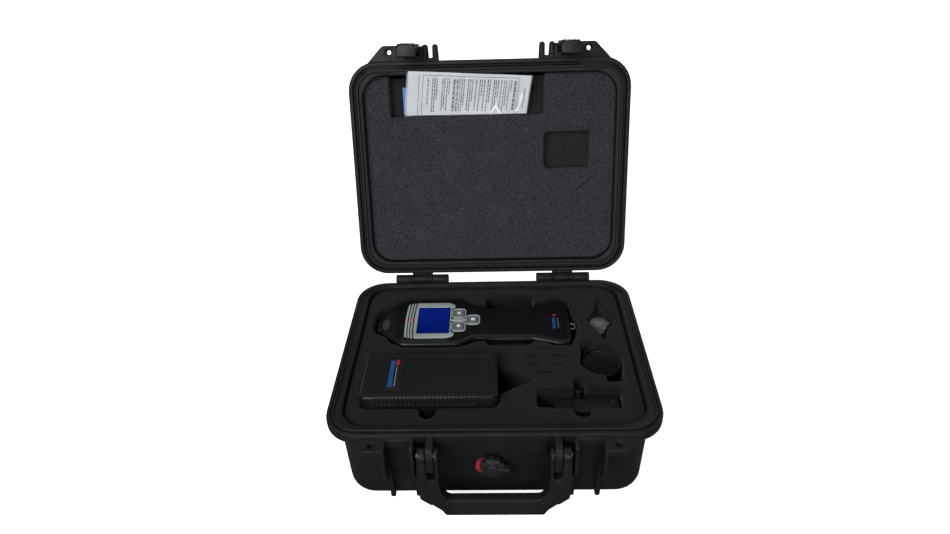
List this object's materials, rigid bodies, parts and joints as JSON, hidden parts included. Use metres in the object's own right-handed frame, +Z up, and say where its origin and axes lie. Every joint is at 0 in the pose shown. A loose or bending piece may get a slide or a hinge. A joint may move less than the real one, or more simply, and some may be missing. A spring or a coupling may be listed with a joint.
{
  "type": "portable gas detector kit",
  "caption": "Handheld gas detector with charging box and accessories, nested in foam in a hinged, latched hard case with handle and pressure valve.",
  "frame": {"origin": "centre of the case underside, on the table, midway across the rim in width and depth", "axes": "+X to the right along the hinge line, +Y from the handle towards the hinges, +Z up"},
  "size_m": [0.34, 0.4074, 0.399],
  "materials": {
    "case_black": "moulded, fine grain",
    "latch_black": "moulded, satin",
    "handle_black": "moulded, satin",
    "grip_rubber": "soft overmould",
    "pin_steel": "drawn",
    "seal_rubber": "smooth",
    "valve_red": "moulded",
    "valve_black": "moulded",
    "membrane": "porous sheet",
    "base_foam": "closed-cell foam",
    "lid_foam": "open-cell foam",
    "paper": "printed leaflet",
    "clear_film": "clear film",
    "booklet_blue": "coated card",
    "detector_black": "moulded, satin",
    "gasket": "smooth",
    "bezel_silver": "satin silver paint",
    "screen": "lit liquid crystal behind a clear window",
    "board_green": "circuit board",
    "led_red": "lens",
    "key_grey": "key cap",
    "sensor_metal": "turned",
    "lens_clear": "polished",
    "filter_white": "felt",
    "tube_clear": "silicone",
    "component_black": "moulded",
    "cell_blue": "shrink sleeve",
    "charger_black": "moulded, fine grain",
    "label_dark": "label with a plain two-colour mark",
    "copper_core": "laminated core with windings",
    "contact_brass": "plated",
    "clip_steel": "bright",
    "accessory_black": "moulded"
  },
  "bodies": {
    "case_base": {"case_base": "case_black", "hinge_pins": "pin_steel", "valve_body": "valve_red", "valve_membrane": "membrane", "base_foam": "base_foam", "base_foam_bottom": "base_foam", "foam_cross_plug": "base_foam"},
    "case_lid": {"case_lid": "case_black", "lid_seal": "seal_rubber", "latch_pins": "pin_steel", "lid_foam": "lid_foam", "lid_foam_backing": "lid_foam"},
    "documents": {"leaflet": "paper", "document_sleeve": "clear_film", "booklet": "booklet_blue"},
    "latch_left": {"latch_left_lever": "latch_black", "hook_pin_left": "pin_steel"},
    "latch_right": {"latch_right_lever": "latch_black", "hook_pin_right": "pin_steel"},
    "hook_left": {"latch_left_hook": "latch_black"},
    "hook_right": {"latch_right_hook": "latch_black"},
    "handle": {"handle_frame": "handle_black", "handle_grip": "grip_rubber", "handle_pins": "pin_steel"},
    "valve_knob": {"valve_knob": "valve_black"},
    "detector": {"front_cover": "detector_black", "rear_cover": "detector_black", "cover_gasket": "gasket", "screen_bezel": "bezel_silver", "display_window": "screen", "lcd_module": "board_green", "alarm_led": "led_red", "key_surrounds": "bezel_silver", "keypad_mat": "gasket", "main_board": "board_green", "sensor_cell": "sensor_metal", "inlet_collar": "detector_black", "inlet_lens": "lens_clear", "inlet_filter": "filter_white", "sample_pump": "component_black", "sample_tube": "tube_clear", "buzzer": "component_black", "battery_pack": "cell_blue", "battery_door": "detector_black", "cover_screws": "pin_steel"},
    "key_a": {"key_a": "key_grey"},
    "key_b": {"key_b": "key_grey"},
    "key_c": {"key_c": "key_grey"},
    "strap_bail": {"strap_bail": "pin_steel"},
    "charger": {"charger_top": "charger_black", "charger_bottom": "charger_black", "charger_label": "label_dark", "charger_board": "board_green", "charger_transformer": "copper_core", "charger_contacts": "contact_brass", "charger_screws": "pin_steel"},
    "calibration_cap": {"calibration_cap": "accessory_black", "cap_seal": "seal_rubber"},
    "belt_clip": {"belt_clip": "clip_steel"},
    "hose_adapter": {"hose_adapter": "accessory_black"}
  },
  "joints": [
    {"name": "lid_hinge", "type": "hinge", "parent": "case_base", "child": "case_lid", "pos_m": [0, 0.1406, 0.1047], "axis": [-1, 0, 0], "range_deg": [-105.5, 0]},
    {"name": "latch_left_swing", "type": "hinge", "parent": "case_lid", "child": "latch_left", "pos_m": [-0.094, 0.23065, 0.37403], "axis": [-1, 0, 0], "range_deg": [-12, 80]},
    {"name": "latch_right_swing", "type": "hinge", "parent": "case_lid", "child": "latch_right", "pos_m": [0.094, 0.23065, 0.37403], "axis": [-1, 0, 0], "range_deg": [-12, 80]},
    {"name": "hook_left_swing", "type": "hinge", "parent": "latch_left", "child": "hook_left", "pos_m": [-0.094, 0.22117, 0.37728], "axis": [1, 0, 0], "range_deg": [0, 25]},
    {"name": "hook_right_swing", "type": "hinge", "parent": "latch_right", "child": "hook_right", "pos_m": [0.094, 0.22117, 0.37728], "axis": [1, 0, 0], "range_deg": [0, 25]},
    {"name": "handle_swing", "type": "hinge", "parent": "case_base", "child": "handle", "pos_m": [0, -0.1465, 0.093], "axis": [-1, 0, 0], "range_deg": [0, 95]},
    {"name": "valve_turn", "type": "hinge", "parent": "case_base", "child": "valve_knob", "pos_m": [-0.0015, -0.13, 0.06], "axis": [0, -1, 0], "range_deg": [0, 180]},
    {"name": "detector_lift", "type": "slide", "parent": "case_base", "child": "detector", "axis": [0, 0, 1], "range_m": [0, 0.11]},
    {"name": "key_a_press", "type": "slide", "parent": "detector", "child": "key_a", "axis": [0, 0, 1], "range_m": [-0.0008, 0], "stiffness_N_per_m": 800},
    {"name": "key_b_press", "type": "slide", "parent": "detector", "child": "key_b", "axis": [0, 0, 1], "range_m": [-0.0008, 0], "stiffness_N_per_m": 800},
    {"name": "key_c_press", "type": "slide", "parent": "detector", "child": "key_c", "axis": [0, 0, 1], "range_m": [-0.0008, 0], "stiffness_N_per_m": 800},
    {"name": "bail_swing", "type": "hinge", "parent": "detector", "child": "strap_bail", "pos_m": [0.09, 0.048, 0.096], "axis": [0, -1, 0], "range_deg": [-45, 45]},
    {"name": "charger_lift", "type": "slide", "parent": "case_base", "child": "charger", "axis": [0, 0, 1], "range_m": [0, 0.11]},
    {"name": "documents_slide", "type": "slide", "parent": "case_lid", "child": "documents", "axis": [0, -0.9636, 0.2672], "range_m": [0, 0.06]},
    {"name": "cap_lift", "type": "slide", "parent": "case_base", "child": "calibration_cap", "axis": [0, 0, 1], "range_m": [0, 0.06]},
    {"name": "clip_lift", "type": "slide", "parent": "case_base", "child": "belt_clip", "axis": [0, 0, 1], "range_m": [0, 0.05]},
    {"name": "adapter_lift", "type": "slide", "parent": "case_base", "child": "hose_adapter", "axis": [0, 0, 1], "range_m": [0, 0.06]}
  ]
}
